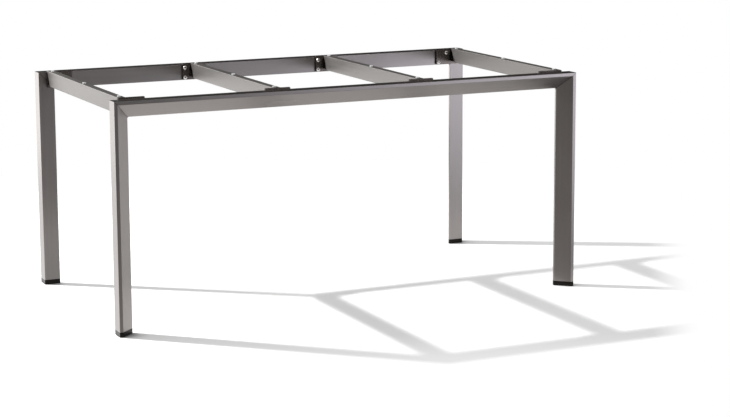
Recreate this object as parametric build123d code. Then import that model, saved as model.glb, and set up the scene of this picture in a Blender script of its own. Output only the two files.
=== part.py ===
from build123d import *
import os

# Table frame: two bevelled portals joined by four slant-ended cross-bars.
# X runs along the table, Y from front to back, Z up. The origin is on the floor, under the middle.

# Overall size
frame_length = 1588.0       # over the outer sides of the legs
frame_depth = 848.0         # over the front and back faces of the portals
rail_top = 720.0            # height of the rails' upper side

# Bevelled hollow section that the rails and the legs share
section_width = 53.0        # from the outer side of the portal to its inner side
section_depth = 47.0        # from the outward face to the flat face behind it
strip_width = 11.0          # narrow flat strip beside the outer edge
bevel_depth = 39.0          # how deep the bevel has gone when it meets the inner side
section_wall = 2.5
section_edge = 1.0          # rounding of the long edges
weld_radius = 5.0           # hollow of the weld that rounds the portal's two inner corners

# Black end caps under the legs
foot_height = 16.0
foot_edge = 2.0             # rounding where the cap meets the floor
plug_height = 22.0          # part of the cap that is pushed up into the leg
plug_wall = 2.5
plug_play = 1.0             # room round the plug's body
rib_play = 0.2              # room round the plug's gripping ribs
rib_height = 2.0
rib_count = 3

# Rectangular cross-bars
bar_width = 25.0
bar_height = 50.0
bar_wall = 2.0
bar_edge = 1.2              # rounding of the long edges
bar_rise = 5.0              # how far the bars stand above the rails
bar_slant = 25.0            # how much shorter the underside is at each end
bar_end_play = 0.3          # between the bar's upper end and the bracket plate
middle_bar_spacing = 497.0  # between the centre lines of the two middle bars

# Brackets: a plate on the rail with a hollow spigot inside the bar
plate_width = 84.0
plate_height = 56.0
plate_thickness = 8.0
plate_corner = 2.0
plate_chamfer = 0.8
spigot_length = 60.0
spigot_wall = 3.0
spigot_play = 0.3
spigot_edge = 2.0
spigot_lead_in = 1.5

# Button-head screws that hold the brackets, seen from the middle of the frame
screw_size = 8.0            # shank diameter
screw_length = 15.0
screw_tip_chamfer = 1.0
head_diameter = 14.0
head_height = 4.4
head_rim = 0.9              # straight rim under the dome
head_crown = 7.2            # diameter of the flat on top of the dome
socket_flats = 5.0
socket_depth = 2.6
hole_play = 0.5             # room round the shank in the plate
upper_screw_drop = 14.5     # from the plate's upper edge
lower_screw_rise = 8.0      # from the plate's lower edge
screw_margin = 9.0          # from the plate's ends to the outermost screws
near_screw_offset = 19.0    # from an end bar's side to its upper screw

# Nuts pressed into the flat wall of the rails from inside
nut_diameter = 12.8
nut_height = 4.6
nut_neck = 10.4             # neck that fills the hole in the wall
neck_play = 0.1
thread_play = 0.1

# Clear pads on the bars that carry the table top
pad_diameter = 12.0
pad_height = 3.0
pad_edge = 1.0
pad_stem = 5.0
stem_play = 0.1
stem_end_play = 0.2         # the stem ends this far above the wall's lower side
pad_inset = 20.0            # from the bar's upper end to the outer pads

# Places worked out from the sizes
half_length = frame_length / 2
half_depth = frame_depth / 2
bar_top = rail_top + bar_rise
bar_middle_height = bar_top - bar_height / 2
rail_face = half_depth - section_depth
plate_face = rail_face - plate_thickness
bar_half_length = plate_face - bar_end_play
end_bar_place = half_length - section_width + bar_width / 2
middle_bar_place = middle_bar_spacing / 2
plate_middle_height = bar_top - plate_height / 2
upper_screw_height = bar_top - upper_screw_drop
lower_screw_height = bar_top - plate_height + lower_screw_rise
pad_reach = bar_half_length - pad_inset

# Every bar by name: its place along X, and the side of the frame it closes (0 for a middle bar)
bars = {
    "left_end_bar": (-end_bar_place, -1),
    "left_middle_bar": (-middle_bar_place, 0),
    "right_middle_bar": (middle_bar_place, 0),
    "right_end_bar": (end_bar_place, 1),
}


def section_outline(inset):
    """Outline of the bevelled section, moved inwards by inset.
    Local x runs from the portal's outer side inwards, local y from the outward face to the flat face."""
    outline = Polyline(
        (0, 0),
        (strip_width, 0),
        (section_width, bevel_depth),
        (section_width, section_depth),
        (0, section_depth),
        close=True,
    )
    face = make_face(outline)
    if inset > 0:
        face = offset(face, amount=-inset, kind=Kind.INTERSECTION)
    return face


def rounded_section():
    """Outer outline of the section with its edges rounded."""
    face = section_outline(0)
    return fillet(face.vertices(), section_edge)


def hollow_section():
    """The section as it is extruded: rounded outside, with an even wall."""
    return rounded_section() - section_outline(section_wall)


def mitre_plane(side):
    """Plane of the 45 degree joint between rail and leg; its normal points to the rail's side."""
    return Plane(origin=(side * half_length, 0, rail_top), x_dir=(0, 1, 0), z_dir=(-side, 0, 1))


def plate_place(place, side):
    """Middle of the bracket plate: on the bar, or inwards from the outer side of an end bar."""
    return place + side * (bar_width - plate_width) / 2


def screw_places(place, side):
    """Centres (x, z) of the screws in the bracket of one bar."""
    if side == 0:
        reach = plate_width / 2 - screw_margin
        return [
            (place + direction * reach, height)
            for direction in (-1, 1)
            for height in (upper_screw_height, lower_screw_height)
        ]
    inner_side = place - side * bar_width / 2
    return [
        (inner_side - side * near_screw_offset, upper_screw_height),
        (plate_place(place, side) - side * (plate_width / 2 - screw_margin), lower_screw_height),
    ]


def make_leg():
    """Front left leg, from the top of its foot to the mitre."""
    corner = Plane(origin=(-half_length, -half_depth, foot_height))
    leg = extrude(corner * hollow_section(), amount=rail_top - foot_height)
    return split(leg, bisect_by=mitre_plane(-1), keep=Keep.BOTTOM)


def make_weld():
    """Hollow fillet of weld under the front rail's left end, where it meets the leg."""
    depth = section_depth - section_edge - (bevel_depth + section_edge / 2)
    corner = Plane(
        origin=(
            section_width - half_length,
            section_depth - section_edge - half_depth,
            rail_top - section_width,
        ),
        x_dir=(1, 0, 0),
        z_dir=(0, -1, 0),
    )
    fill = Pos(weld_radius / 2, -weld_radius / 2) * Rectangle(weld_radius, weld_radius)
    fill -= Pos(weld_radius, -weld_radius) * Circle(weld_radius)
    return extrude(corner * fill, amount=depth)


def make_rail():
    """Front rail, mitred at both ends, with its welds, and drilled for the nuts of the brackets."""
    middle = Plane(origin=(0, -half_depth, rail_top), x_dir=(0, 0, -1), z_dir=(1, 0, 0))
    rail = extrude(middle * hollow_section(), amount=half_length, both=True)
    for side in (-1, 1):
        rail = split(rail, bisect_by=mitre_plane(side), keep=Keep.TOP)
    weld = make_weld()
    rail = rail + weld + mirror(weld, about=Plane.YZ)
    for place, side in bars.values():
        for x, z in screw_places(place, side):
            wall_middle = Plane(origin=(x, -rail_face - section_wall / 2, z), z_dir=(0, 1, 0))
            rail -= wall_middle * Cylinder(nut_neck / 2 + neck_play, section_wall * 2)
    return rail


def make_foot():
    """Front left foot: a cap with the leg's outline and a ribbed hollow plug."""
    cap = extrude(Plane(origin=(-half_length, -half_depth, 0)) * section_outline(0), amount=foot_height)
    cap = fillet(cap.edges().filter_by(Axis.Z), section_edge)
    cap = fillet(cap.faces().sort_by(Axis.Z)[0].edges(), foot_edge)
    seat = Plane(origin=(-half_length, -half_depth, foot_height))
    foot = cap + extrude(seat * section_outline(section_wall + plug_play), amount=plug_height)
    rib_pitch = plug_height / (rib_count + 0.5)
    for number in range(1, rib_count + 1):
        rib = extrude(section_outline(section_wall + rib_play), amount=rib_height)
        foot += Pos(-half_length, -half_depth, foot_height + number * rib_pitch - rib_height / 2) * rib
    core = extrude(seat * section_outline(section_wall + plug_play + plug_wall), amount=plug_height)
    return foot - core


def make_bar(place):
    """Cross-bar: a tube with both ends cut on the slant, drilled for its pads."""
    outer = RectangleRounded(bar_width, bar_height, bar_edge)
    inner = Rectangle(bar_width - 2 * bar_wall, bar_height - 2 * bar_wall)
    axis_plane = Plane(origin=(place, 0, bar_middle_height), x_dir=(1, 0, 0), z_dir=(0, -1, 0))
    bar = extrude(axis_plane * (outer - inner), amount=bar_half_length, both=True)
    for end in (-1, 1):
        cut = Plane(
            origin=(place, end * bar_half_length, bar_top),
            x_dir=(1, 0, 0),
            z_dir=(0, end * bar_height, -bar_slant),
        )
        bar = split(bar, bisect_by=cut, keep=Keep.BOTTOM)
    for y in (-pad_reach, 0, pad_reach):
        bar -= Pos(place, y, bar_top - bar_wall / 2) * Cylinder(pad_stem / 2 + stem_play, bar_wall * 2)
    return bar


def make_bracket(place, side):
    """Front bracket of one bar: a drilled plate on the rail and a hollow spigot in the bar."""
    rail_plane = Plane(
        origin=(plate_place(place, side), -rail_face, plate_middle_height),
        x_dir=(-1, 0, 0),
        z_dir=(0, 1, 0),
    )
    plate_outline = RectangleRounded(plate_width, plate_height, plate_corner)
    plate = extrude(rail_plane * plate_outline, amount=plate_thickness)
    plate = chamfer(plate.faces().sort_by(Axis.Y)[-1].edges(), plate_chamfer)
    spigot_width = bar_width - 2 * (bar_wall + spigot_play)
    spigot_height = bar_height - 2 * (bar_wall + spigot_play)
    spigot_plane = Plane(origin=(place, -plate_face, bar_middle_height), x_dir=(-1, 0, 0), z_dir=(0, 1, 0))
    spigot_outline = RectangleRounded(spigot_width, spigot_height, spigot_edge)
    spigot = extrude(spigot_plane * spigot_outline, amount=spigot_length)
    spigot = chamfer(spigot.faces().sort_by(Axis.Y)[-1].edges(), spigot_lead_in)
    hollow = Rectangle(spigot_width - 2 * spigot_wall, spigot_height - 2 * spigot_wall)
    bracket = plate + (spigot - extrude(spigot_plane * hollow, amount=spigot_length))
    for x, z in screw_places(place, side):
        through = Plane(origin=(x, -rail_face + plate_thickness / 2, z), z_dir=(0, 1, 0))
        bracket -= through * Cylinder(screw_size / 2 + hole_play, plate_thickness * 2)
    return bracket


def make_screw():
    """Button-head screw standing on its shank: the underside of the head is at the origin."""
    head_radius = head_diameter / 2
    crown_radius = head_crown / 2
    half_way = (head_radius + crown_radius) / 2 + (head_radius - crown_radius) * 0.2
    half_height = (head_rim + head_height) / 2 + (head_height - head_rim) * 0.13
    profile = Polyline(
        (crown_radius, head_height),
        (0, head_height),
        (0, -screw_length),
        (screw_size / 2 - screw_tip_chamfer, -screw_length),
        (screw_size / 2, -screw_length + screw_tip_chamfer),
        (screw_size / 2, 0),
        (head_radius, 0),
        (head_radius, head_rim),
    )
    dome = ThreePointArc((head_radius, head_rim), (half_way, half_height), (crown_radius, head_height))
    screw = revolve(Plane.XZ * make_face([profile, dome]), axis=Axis.Z)
    socket = RegularPolygon(socket_flats / 2, 6, major_radius=False)
    return screw - extrude(Pos(0, 0, head_height) * socket, amount=-socket_depth)


def make_nut():
    """Press nut standing on its neck: its seat against the wall is at the origin."""
    nut = Pos(0, 0, nut_height / 2) * Cylinder(nut_diameter / 2, nut_height)
    nut += Pos(0, 0, -section_wall / 2) * Cylinder(nut_neck / 2, section_wall)
    return nut - Cylinder(screw_size / 2 + thread_play, 4 * nut_height)


def make_pad(place, y):
    """Clear pad with a flat top and a short stem in the bar's upper wall."""
    pad = Pos(place, y, bar_top + pad_height / 2) * Cylinder(pad_diameter / 2, pad_height)
    pad = fillet(pad.edges().sort_by(Axis.Z)[-1], pad_edge)
    stem_length = bar_wall - stem_end_play
    return pad + Pos(place, y, bar_top - stem_length / 2) * Cylinder(pad_stem / 2, stem_length)


# Portals: front pieces are built, back and right ones are their mirror images
nodes = {}
leg = make_leg()
foot = make_foot()
rail = make_rail()
nodes["front_rail"] = rail
nodes["back_rail"] = mirror(rail, about=Plane.XZ)
for name, piece in (("leg", leg), ("foot", foot)):
    nodes["front_left_" + name] = piece
    nodes["front_right_" + name] = mirror(piece, about=Plane.YZ)
    nodes["back_left_" + name] = mirror(piece, about=Plane.XZ)
    nodes["back_right_" + name] = mirror(nodes["front_right_" + name], about=Plane.XZ)

# Nuts inside the rails
nut = make_nut()
front_nuts = []
for place, side in bars.values():
    for x, z in screw_places(place, side):
        seat = Plane(origin=(x, -rail_face - section_wall, z), z_dir=(0, -1, 0))
        front_nuts.append(seat.location * nut)
nodes["front_rail_nuts"] = Compound(front_nuts)
nodes["back_rail_nuts"] = mirror(nodes["front_rail_nuts"], about=Plane.XZ)

# Cross-bars with their brackets, screws and pads
screw = make_screw()
for bar_name, (place, side) in bars.items():
    nodes[bar_name] = make_bar(place)
    bracket = make_bracket(place, side)
    nodes[bar_name + "_front_bracket"] = bracket
    nodes[bar_name + "_back_bracket"] = mirror(bracket, about=Plane.XZ)
    screws = []
    for x, z in screw_places(place, side):
        seat = Plane(origin=(x, -plate_face, z), z_dir=(0, 1, 0))
        screws.append(seat.location * screw)
    nodes[bar_name + "_front_screws"] = Compound(screws)
    nodes[bar_name + "_back_screws"] = mirror(nodes[bar_name + "_front_screws"], about=Plane.XZ)
    for pad_name, y in (("front", -pad_reach), ("middle", 0), ("back", pad_reach)):
        nodes[bar_name + "_" + pad_name + "_pad"] = make_pad(place, y)

os.makedirs("parts", exist_ok=True)
for name, piece in nodes.items():
    export_step(piece, "parts/" + name + ".step")
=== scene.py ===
from math import radians

import bpy
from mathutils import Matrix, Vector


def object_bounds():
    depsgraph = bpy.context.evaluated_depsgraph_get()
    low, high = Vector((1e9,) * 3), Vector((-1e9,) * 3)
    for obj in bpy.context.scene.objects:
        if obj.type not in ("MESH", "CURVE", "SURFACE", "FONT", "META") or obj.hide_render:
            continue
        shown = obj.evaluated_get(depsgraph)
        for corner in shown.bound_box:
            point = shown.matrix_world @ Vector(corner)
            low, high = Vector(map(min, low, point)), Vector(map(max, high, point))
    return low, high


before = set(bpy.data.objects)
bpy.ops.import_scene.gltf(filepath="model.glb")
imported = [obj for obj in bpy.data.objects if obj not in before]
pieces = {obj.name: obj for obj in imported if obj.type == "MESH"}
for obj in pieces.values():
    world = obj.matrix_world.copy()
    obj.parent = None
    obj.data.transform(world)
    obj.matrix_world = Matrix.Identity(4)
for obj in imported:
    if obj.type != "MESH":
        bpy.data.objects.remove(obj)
cad_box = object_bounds()


# Rails
# The two long upper members, one at the front and one at the back. Each is a hollow
# aluminium extrusion with one wide bevel, mitred at both ends, welded and satin brushed.

extrusion_tint = (0.332, 0.312, 0.304)
extrusion_roughness = 0.30
hairline_depth = 0.00002
hairline_spread = (14.0, 2600.0)  # marks to a metre, along the brushing and across it
band_spread = (2.2, 160.0)
handling_scale = 7.0
handling_share = 0.45
least_wear = 0.45
tint_swing = 0.04
polish_swing = 0.03


def new_finish(name):
    """A new material with its node tree, its shader and the place on the piece that patterns follow."""
    finish = bpy.data.materials.new(name)
    finish.use_nodes = True
    tree = finish.node_tree
    place = tree.nodes.new("ShaderNodeTexCoord").outputs["Object"]
    return finish, tree, tree.nodes["Principled BSDF"], place


def feed(tree, socket, value):
    """Sets a socket to a plain value, or joins it to the output of another node."""
    if isinstance(value, bpy.types.NodeSocket):
        tree.links.new(value, socket)
    else:
        socket.default_value = value


def clouds(tree, place, scale, detail, roughness=0.5):
    """Soft noise between 0 and 1, with about as many clouds to a metre as the scale says."""
    noise = tree.nodes.new("ShaderNodeTexNoise")
    noise.inputs["Scale"].default_value = scale
    noise.inputs["Detail"].default_value = detail
    noise.inputs["Roughness"].default_value = roughness
    tree.links.new(place, noise.inputs["Vector"])
    return noise.outputs["Fac"]


def drawn_out(tree, place, along, spread):
    """The place scaled for brushed lines: little along one axis and much across it."""
    lengthwise, crosswise = spread
    mapping = tree.nodes.new("ShaderNodeMapping")
    mapping.inputs["Scale"].default_value = [lengthwise if axis == along else crosswise for axis in "xyz"]
    tree.links.new(place, mapping.inputs["Vector"])
    return mapping.outputs["Vector"]


def worked_out(tree, operation, *values):
    """One step of arithmetic on plain numbers and on the outputs of other nodes."""
    step = tree.nodes.new("ShaderNodeMath")
    step.operation = operation
    for socket, value in zip(step.inputs, values):
        feed(tree, socket, value)
    return step.outputs["Value"]


def ranged(tree, value, start=0.0, end=1.0, low=0.0, high=1.0, curve="LINEAR"):
    """A value between start and end, moved to between low and high, and held there beyond them."""
    span = tree.nodes.new("ShaderNodeMapRange")
    span.interpolation_type = curve
    span.inputs["From Min"].default_value = start
    span.inputs["From Max"].default_value = end
    span.inputs["To Min"].default_value = low
    span.inputs["To Max"].default_value = high
    tree.links.new(value, span.inputs["Value"])
    return span.outputs["Result"]


def blended(tree, share, first, second):
    """A colour that goes from the first to the second as the share goes from 0 to 1."""
    mix = tree.nodes.new("ShaderNodeMix")
    mix.data_type = "RGBA"
    tree.links.new(share, mix.inputs["Factor"])
    feed(tree, mix.inputs["A"], first)
    feed(tree, mix.inputs["B"], second)
    return mix.outputs["Result"]


def put_relief(tree, shader, height, strength, depth):
    """Gives a surface the relief of a pattern, as deep as the given metres."""
    bump = tree.nodes.new("ShaderNodeBump")
    bump.inputs["Strength"].default_value = strength
    bump.inputs["Distance"].default_value = depth
    tree.links.new(height, bump.inputs["Height"])
    tree.links.new(bump.outputs["Normal"], shader.inputs["Normal"])


def brushed_aluminium(name, tint, along, roughness, scratch_depth):
    """Satin aluminium with hairlines along one axis, a cloudy polish and faint handling marks."""
    finish, tree, metal, place = new_finish(name)
    metal.inputs["Metallic"].default_value = 1.0
    hairline_place = drawn_out(tree, place, along, hairline_spread)
    hairlines = clouds(tree, hairline_place, scale=1.0, detail=3.0, roughness=0.6)
    bands = clouds(tree, drawn_out(tree, place, along, band_spread), scale=1.0, detail=4.0)
    handling = clouds(tree, place, handling_scale, detail=5.0)
    wear = worked_out(tree, "MULTIPLY_ADD", handling, handling_share, bands)
    darker = [part * (1 - tint_swing) for part in tint] + [1.0]
    paler = [part * (1 + tint_swing) for part in tint] + [1.0]
    colour = blended(tree, ranged(tree, wear, start=least_wear), darker, paler)
    tree.links.new(colour, metal.inputs["Base Color"])
    smoothest, roughest = roughness - polish_swing, roughness + polish_swing
    polish = ranged(tree, wear, start=least_wear, low=smoothest, high=roughest)
    tree.links.new(polish, metal.inputs["Roughness"])
    put_relief(tree, metal, hairlines, strength=0.35, depth=scratch_depth)
    return finish


def dress(finish, names):
    """Gives the named pieces their finish."""
    for name in names:
        pieces[name].material_slots[0].material = finish


rail_finish = brushed_aluminium("rail_aluminium", extrusion_tint, "x", extrusion_roughness, hairline_depth)
dress(rail_finish, ("front_rail", "back_rail"))


# Legs
# Four legs in the same extrusion as the rails, cut at 45 degrees and welded to them.
# Their hairlines run up the leg, so the mitre shows as a change of grain beside the dressed weld.

rail_top = max(z for x, y, z in pieces["front_rail"].bound_box)
mitre_offset = cad_box[1][0] - rail_top  # each mitre lies this much further out than up
seam_half_width = 0.0006
seam_colour = (0.10, 0.094, 0.09, 1.0)


def axes_of(tree, vector):
    """The X, Y and Z of a place or a direction."""
    split = tree.nodes.new("ShaderNodeSeparateXYZ")
    tree.links.new(vector, split.inputs["Vector"])
    return split.outputs


def mark_mitre(finish):
    """Draws the hairline of the dressed weld, darker than the metal, along the mitres."""
    tree = finish.node_tree
    metal = tree.nodes["Principled BSDF"]
    polished = metal.inputs["Base Color"].links[0].from_socket
    axes = axes_of(tree, tree.nodes.new("ShaderNodeTexCoord").outputs["Object"])
    outwards = worked_out(tree, "ABSOLUTE", axes["X"])
    diagonal = worked_out(tree, "SUBTRACT", outwards, axes["Z"])
    on_seam = worked_out(tree, "COMPARE", diagonal, mitre_offset, seam_half_width * 2**0.5)
    tree.links.new(blended(tree, on_seam, polished, seam_colour), metal.inputs["Base Color"])


leg_finish = brushed_aluminium("leg_aluminium", extrusion_tint, "z", extrusion_roughness, hairline_depth)
dress(leg_finish, ("front_left_leg", "front_right_leg", "back_left_leg", "back_right_leg"))
for finish in (rail_finish, leg_finish):
    mark_mitre(finish)


# Cross-bars
# Four lengths of rectangular aluminium tube between the rails, cut on the slant at both ends.
# They are anodised, which gives a duller surface than the extrusion's, with its grain along the bar.

anodised_tint = (0.208, 0.198, 0.190)
anodised_roughness = 0.42
anodised_metallic = 0.72

bar_finish = brushed_aluminium("bar_aluminium", anodised_tint, "y", anodised_roughness, hairline_depth)
bar_finish.node_tree.nodes["Principled BSDF"].inputs["Metallic"].default_value = anodised_metallic
dress(bar_finish, ("left_end_bar", "left_middle_bar", "right_middle_bar", "right_end_bar"))


# Brackets
# A flat plate screwed to the rail, with a hollow spigot on it that the bar slides over.
# Both are dark anodised, and the plate's broad faces are rubbed to a dark grey; every face not turned to
# the front or back, the plate's edges among them, is painted nearly black as painted shade.

plate_tint = (0.160, 0.140, 0.129)
plate_roughness = 0.26
plate_scratch_depth = 0.000015
painted_shade_black = (0.024, 0.021, 0.019, 1.0)

bracket_finish = brushed_aluminium(
    "bracket_aluminium", plate_tint, "z", plate_roughness, plate_scratch_depth
)
tree = bracket_finish.node_tree
bracket_metal = tree.nodes["Principled BSDF"]
rubbed_colour = bracket_metal.inputs["Base Color"].links[0].from_socket
# Painted shade: faces that do not look to the front or back are coloured nearly black.
facing = axes_of(tree, tree.nodes.new("ShaderNodeTexCoord").outputs["Normal"])
across_rail = worked_out(tree, "ABSOLUTE", facing["Y"])
unshaded_face_share = ranged(tree, across_rail, start=0.5, end=0.9)
tree.links.new(blended(tree, unshaded_face_share, painted_shade_black, rubbed_colour), bracket_metal.inputs["Base Color"])
dress(bracket_finish, [name for name in pieces if name.endswith("_bracket")])


# Screws
# Domed stainless screws with a hexagon socket, turned bright, which hold each plate to its rail.
# Their heads have fine marks and catch the studio lights, and their sockets are darkened by painted shade.

turned_steel = (0.84, 0.83, 0.81, 1.0)
bright_steel = (0.94, 0.93, 0.91, 1.0)
turning_scale = 900.0
turning_depth = 0.00002
socket_depth = 0.004

screw_finish, tree, steel, place = new_finish("screw_steel")
steel.inputs["Metallic"].default_value = 1.0
turning = clouds(tree, place, turning_scale, detail=3.0)
# Painted shade: ambient occlusion darkens the steel's colour in the hex sockets.
socket_painted_shade = tree.nodes.new("ShaderNodeAmbientOcclusion")
socket_painted_shade.only_local = True
socket_painted_shade.inputs["Distance"].default_value = socket_depth
tree.links.new(blended(tree, turning, turned_steel, bright_steel), socket_painted_shade.inputs["Color"])
shaded_steel_colour = tree.nodes.new("ShaderNodeMix")
shaded_steel_colour.data_type = "RGBA"
shaded_steel_colour.blend_type = "MULTIPLY"
shaded_steel_colour.inputs["Factor"].default_value = 1.0
tree.links.new(socket_painted_shade.outputs["Color"], shaded_steel_colour.inputs["A"])
tree.links.new(socket_painted_shade.outputs["AO"], shaded_steel_colour.inputs["B"])
tree.links.new(shaded_steel_colour.outputs["Result"], steel.inputs["Base Color"])
tree.links.new(ranged(tree, turning, low=0.28, high=0.40), steel.inputs["Roughness"])
put_relief(tree, steel, turning, strength=0.15, depth=turning_depth)
dress(screw_finish, [name for name in pieces if name.endswith("_screws")])


# Press nuts
# Steel nuts pressed into the inner wall of each rail, zinc plated, out of sight behind the plates.
# The plating is a yellowish grey with small cloudy crystals.

dull_zinc = (0.36, 0.35, 0.30, 1.0)
bright_zinc = (0.52, 0.51, 0.46, 1.0)
crystal_scale = 700.0
crystal_depth = 0.00003

nut_finish, tree, zinc, place = new_finish("nut_steel")
zinc.inputs["Metallic"].default_value = 1.0
plating = tree.nodes.new("ShaderNodeTexVoronoi")
plating.inputs["Scale"].default_value = crystal_scale
tree.links.new(place, plating.inputs["Vector"])
crystals = plating.outputs["Distance"]
tree.links.new(blended(tree, crystals, dull_zinc, bright_zinc), zinc.inputs["Base Color"])
tree.links.new(ranged(tree, crystals, low=0.34, high=0.52), zinc.inputs["Roughness"])
put_relief(tree, zinc, crystals, strength=0.2, depth=crystal_depth)
dress(nut_finish, ("front_rail_nuts", "back_rail_nuts"))


# Table top pads
# Round clear silicone pads, three on each bar, each with a stem pushed into a hole in the tube.
# The table top rests on them; they are milky, slightly soft and a little dusty.

clear_milk = (0.90, 0.91, 0.92, 1.0)
dusty_milk = (0.97, 0.98, 0.98, 1.0)
milk_depth = 0.004
dust_scale = 500.0
dust_depth = 0.00004

pad_finish, tree, silicone, place = new_finish("pad_clear")
silicone.inputs["IOR"].default_value = 1.41
silicone.inputs["Transmission Weight"].default_value = 0.25
silicone.inputs["Subsurface Weight"].default_value = 0.4
silicone.inputs["Subsurface Radius"].default_value = (milk_depth, milk_depth, milk_depth)
dust = clouds(tree, place, dust_scale, detail=4.0)
tree.links.new(blended(tree, dust, clear_milk, dusty_milk), silicone.inputs["Base Color"])
tree.links.new(ranged(tree, dust, low=0.22, high=0.45), silicone.inputs["Roughness"])
put_relief(tree, silicone, dust, strength=0.15, depth=dust_depth)
dress(pad_finish, [name for name in pieces if name.endswith("_pad")])


# Feet
# A moulded black plastic cap under each leg, held by a ribbed plug inside it.
# The moulding has a fine spark-eroded grain and is paler where the floor has rubbed it.

moulded_black = (0.0070, 0.0048, 0.0038, 1.0)
rubbed_black = (0.024, 0.019, 0.016, 1.0)
rubbed_height = 0.005
grain_scale = 1400.0
grain_depth = 0.00005
scuff_scale = 90.0

foot_finish, tree, plastic, place = new_finish("foot_plastic")
plastic.inputs["Specular IOR Level"].default_value = 0.13
plastic.inputs["Coat Weight"].default_value = 0.6
plastic.inputs["Coat IOR"].default_value = 1.15
plastic.inputs["Coat Roughness"].default_value = 0.15
grain = clouds(tree, place, grain_scale, detail=2.0)
scuffs = clouds(tree, place, scuff_scale, detail=6.0)
near_floor = ranged(tree, axes_of(tree, place)["Z"], start=rubbed_height, end=0.0)
scuffed = worked_out(tree, "MULTIPLY", near_floor, scuffs)
tree.links.new(blended(tree, scuffed, moulded_black, rubbed_black), plastic.inputs["Base Color"])
tree.links.new(ranged(tree, scuffs, low=0.24, high=0.38), plastic.inputs["Roughness"])
put_relief(tree, plastic, grain, strength=0.4, depth=grain_depth)
dress(foot_finish, [name for name in pieces if name.endswith("_foot")])


# Floor
# A sheet of white paper that the frame stands on, which keeps its shadow.
# Past the shadow's right end, and far from the frame, it runs out into the white background,
# and towards the front and the right the shadow is made paler by painted light: a white glow, seen only by
# the camera, that is mixed into the paper.

paper_middle = (0.5, 2.0, 0.0)
paper_size = (11.0, 8.0, 1.0)
fibre_scale = 300.0
fibre_depth = 0.0001
seen_white = (0.97, 0.97, 0.97, 1.0)
mirrored_white = (0.73, 0.72, 0.71, 1.0)
rightwards = (0.847, -0.531, 0.0)  # on the floor, along the shadow's longer side
frontwards = (-0.422, -0.907, 0.0)  # on the floor, towards the front edge of the picture
lampwards = (-0.64, 0.47, 0.61)  # from the frame to the key light
contact_reach = 0.12


def distance_towards(tree, place, heading):
    """How far a place lies from the middle of the frame, in the direction of the heading."""
    reach = tree.nodes.new("ShaderNodeVectorMath")
    reach.operation = "DOT_PRODUCT"
    reach.inputs[1].default_value = heading
    tree.links.new(place, reach.inputs[0])
    return reach.outputs["Value"]


bpy.ops.object.select_all(action="DESELECT")
bpy.ops.mesh.primitive_plane_add(size=1, location=paper_middle)
paper = bpy.context.object
paper.name = "paper_floor"
paper.scale = paper_size
bpy.ops.object.transform_apply(location=True, scale=True)
paper_finish, tree, sheet, place = new_finish("white_paper")
sheet.inputs["Roughness"].default_value = 1.0
sheet.inputs["Specular IOR Level"].default_value = 0.0
fibres = clouds(tree, place, fibre_scale, detail=2.0)
put_relief(tree, sheet, fibres, strength=0.05, depth=fibre_depth)

to_right = distance_towards(tree, place, rightwards)
to_front = distance_towards(tree, place, frontwards)
from_middle = tree.nodes.new("ShaderNodeVectorMath")
from_middle.operation = "LENGTH"
tree.links.new(place, from_middle.inputs[0])
right_end = ranged(tree, to_right, start=1.10, end=1.30, curve="SMOOTHSTEP")
far_end = ranged(tree, from_middle.outputs["Value"], start=1.6, end=2.6, curve="SMOOTHSTEP")
run_out = worked_out(tree, "MAXIMUM", right_end, far_end)
# Painted light: a camera-only white glow that makes the shadow paler towards the front and the right.
front_painted_light = ranged(tree, to_front, start=0.70, end=0.98, high=0.36)
right_painted_light = ranged(tree, to_right, start=0.30, end=0.80, high=0.16)
painted_paleness = worked_out(tree, "MAXIMUM", run_out, worked_out(tree, "ADD", front_painted_light, right_painted_light))

paper_ray = tree.nodes.new("ShaderNodeLightPath")
white = blended(tree, paper_ray.outputs["Is Glossy Ray"], seen_white, mirrored_white)
to_lamp = tree.nodes.new("ShaderNodeCombineXYZ")
for axis, part in zip("XYZ", lampwards):
    to_lamp.inputs[axis].default_value = part
# Painted contact shadow: ambient occlusion, looking towards the key light, darkens the paper's colour
# beside the feet on their shadow side.
contact = tree.nodes.new("ShaderNodeAmbientOcclusion")
contact.inputs["Distance"].default_value = contact_reach
tree.links.new(to_lamp.outputs["Vector"], contact.inputs["Normal"])
painted_contact_shadow = ranged(tree, contact.outputs["AO"], start=0.27, end=0.76, low=0.10)
shaded_white = tree.nodes.new("ShaderNodeVectorMath")
shaded_white.operation = "SCALE"
tree.links.new(white, shaded_white.inputs[0])
tree.links.new(painted_contact_shadow, shaded_white.inputs["Scale"])
tree.links.new(shaded_white.outputs["Vector"], sheet.inputs["Base Color"])

background = tree.nodes.new("ShaderNodeEmission")
background_share = worked_out(tree, "MULTIPLY", painted_paleness, paper_ray.outputs["Is Camera Ray"])
paper_or_background = tree.nodes.new("ShaderNodeMixShader")
tree.links.new(background_share, paper_or_background.inputs["Fac"])
tree.links.new(sheet.outputs["BSDF"], paper_or_background.inputs[1])
tree.links.new(background.outputs["Emission"], paper_or_background.inputs[2])
tree.links.new(paper_or_background.outputs["Shader"], tree.nodes["Material Output"].inputs["Surface"])
paper.data.materials.append(paper_finish)


# Room light
# White all round for the camera, for the metal and for the clear pads.
# On matt surfaces it is a soft fill, which sets how dark the frame's shadow is.

fill_strength = 0.66

room = bpy.data.worlds.new("room")
bpy.context.scene.world = room
room.use_nodes = True
tree = room.node_tree
rays = tree.nodes.new("ShaderNodeLightPath").outputs
seen_or_mirrored = worked_out(tree, "ADD", rays["Is Camera Ray"], rays["Is Glossy Ray"])
seen_at_all = worked_out(tree, "ADD", seen_or_mirrored, rays["Is Transmission Ray"])
walls = tree.nodes["Background"]
tree.links.new(ranged(tree, seen_at_all, low=fill_strength), walls.inputs["Strength"])
walls.inputs["Color"].default_value = (1.0, 1.0, 1.0, 1.0)


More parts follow.
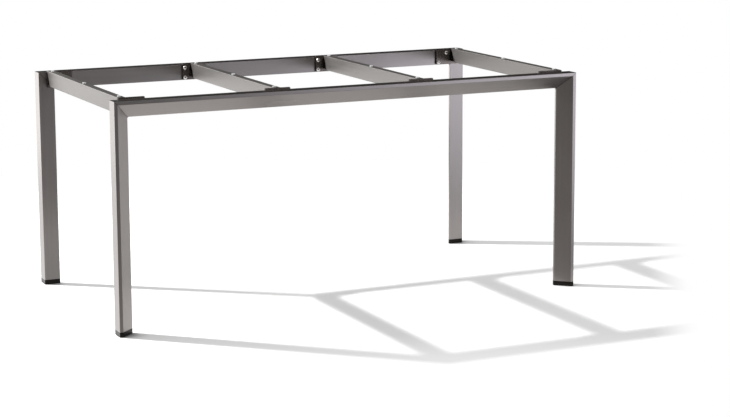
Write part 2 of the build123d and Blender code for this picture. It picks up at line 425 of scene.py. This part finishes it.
# Key light
# One small softbox, wider than high, behind and to the left of the frame and nearly nine metres off.
# The shadow that it lays to the right is clear near the feet and softer under the rails and bars.

bpy.ops.object.light_add(
    type="AREA",
    location=(-5.55, 4.05, 5.27),
    rotation=(radians(52.51), 0.0, radians(-126.12)),
)
key = bpy.context.object
key.name = "key_light"
key.data.shape = "RECTANGLE"
key.data.size = 0.35
key.data.size_y = 0.12
key.data.energy = 960.0


# Studio walls
# The softboxes, the walls, the floors and the dark ceiling that the satin metal mirrors.
# They show in reflections alone and put no light on the paper.

lying = (0, 0, 0)
lying_turned = (0, 0, 90)
upright_x = (90, 0, 0)  # standing, and running along X
upright_y = (90, 0, 90)
upright_turned = (90, 0, 14)
above_paper = 0.002

dim = (0.040, 0.036, 0.033)
window = (3.15, 3.15, 3.45)
softbox_edge = (0.40, 0.40, 0.40)
softbox_heart = (2.65, 2.62, 2.60)
top_edge = (0.90, 0.90, 0.88)
top_heart = (2.60, 2.60, 2.54)
overhead_glow = (0.25, 0.25, 0.245)
left_glow = (1.45, 1.45, 1.45)
left_grey = (0.20, 0.19, 0.18)
right_grey = (0.58, 0.56, 0.55)
back_wall_dark = (0.018, 0.016, 0.015)
back_floor_dark = (0.06, 0.055, 0.05)
front_floor_near = (0.16, 0.150, 0.143)
front_floor_far = (0.40, 0.38, 0.37)
window_floor_near = (0.10, 0.095, 0.09)
back_foot_grey = (0.60, 0.59, 0.585)
front_foot_grey = (0.42, 0.40, 0.385)


def studio_panel(name, centre, size, turn, light, far_light=None):
    """A flat panel of one light, or one whose light changes evenly along its own X to the far light."""
    bpy.ops.object.select_all(action="DESELECT")
    bpy.ops.mesh.primitive_plane_add(size=1, location=centre, rotation=[radians(a) for a in turn])
    panel = bpy.context.object
    panel.name = name
    panel.scale = (*size, 1.0)
    glow = bpy.data.materials.new(name)
    glow.use_nodes = True
    tree = glow.node_tree
    tree.nodes.clear()
    across = axes_of(tree, tree.nodes.new("ShaderNodeTexCoord").outputs["Object"])["X"]
    share = ranged(tree, across, start=-0.5, end=0.5)
    colour = blended(tree, share, (*light, 1.0), (*(far_light or light), 1.0))
    emission = tree.nodes.new("ShaderNodeEmission")
    tree.links.new(colour, emission.inputs["Color"])
    surface = tree.nodes.new("ShaderNodeOutputMaterial")
    tree.links.new(emission.outputs["Emission"], surface.inputs["Surface"])
    panel.data.materials.append(glow)
    panel.visible_camera = False
    panel.visible_diffuse = False
    panel.visible_shadow = False
    panel.visible_transmission = False
    panel.visible_volume_scatter = False


studio_panel("left_softbox", (-2.4, 2.6, 1.1), (4.0, 2.2), upright_turned, softbox_edge, softbox_heart)
studio_panel("left_floor", (-2.3985, 1.0, above_paper), (3.203, 3.2), lying, left_glow)
studio_panel("back_wall", (3.0, 4.2, 1.95), (7.0, 3.7), upright_x, back_wall_dark)
studio_panel("back_floor", (0.35, 2.95, above_paper), (2.3, 2.5), lying, back_floor_dark)
studio_panel("ceiling", (0.5, 0.0, 3.8), (12.0, 10.0), lying, dim)
studio_panel("overhead_softbox", (0.0, 0.0, 3.6), (5.0, 4.0), lying, overhead_glow)
studio_panel("right_wall", (5.2, 0.0, 1.9), (9.0, 3.8), upright_y, right_grey)
studio_panel("front_left_wall", (-4.5, -2.6, 1.9), (5.2, 3.8), upright_y, left_grey)
studio_panel("front_wall_dark", (-2.0, -4.5, 1.9), (5.0, 3.8), upright_x, dim)
studio_panel("front_wall_bright", (2.85, -4.5, 0.5), (4.7, 1.0), upright_x, dim, window)
studio_panel("front_wall_upper", (2.85, -4.5, 2.4), (4.7, 2.8), upright_x, dim)
studio_panel("front_top_softbox", (0.0, -4.4, 3.0), (6.0, 1.6), upright_x, top_edge, top_heart)
studio_panel("back_foot_floor", (-0.6485, 0.075, above_paper), (0.297, 0.65), lying, back_foot_grey)
studio_panel("front_foot_floor", (0.65, -0.53, above_paper), (0.30, 0.18), lying, front_foot_grey)
studio_panel(
    "front_floor_dark",
    (-2.0, -2.47, above_paper),
    (4.06, 5.0),
    lying_turned,
    front_floor_near,
    front_floor_far,
)
studio_panel(
    "front_floor_bright",
    (2.85, -2.585, above_paper),
    (4.7, 3.93),
    lying,
    window_floor_near,
    window,
)


# Camera
# At the photograph's viewing angle: from the front left, nearly seven metres off and looking
# slightly down, with a long lens shifted so that the frame sits where it does in the photograph.

bpy.ops.object.camera_add(
    location=(-2.65607, -6.18759, 1.53945),
    rotation=(radians(80.2459), radians(0.2479), radians(-24.9978)),
)
camera = bpy.context.object
camera.data.sensor_width = 36.0
camera.data.lens = 100.795
camera.data.shift_y = -0.05
camera.data.clip_end = 100.0
bpy.context.scene.camera = camera
bpy.context.scene.view_settings.view_transform = "Standard"
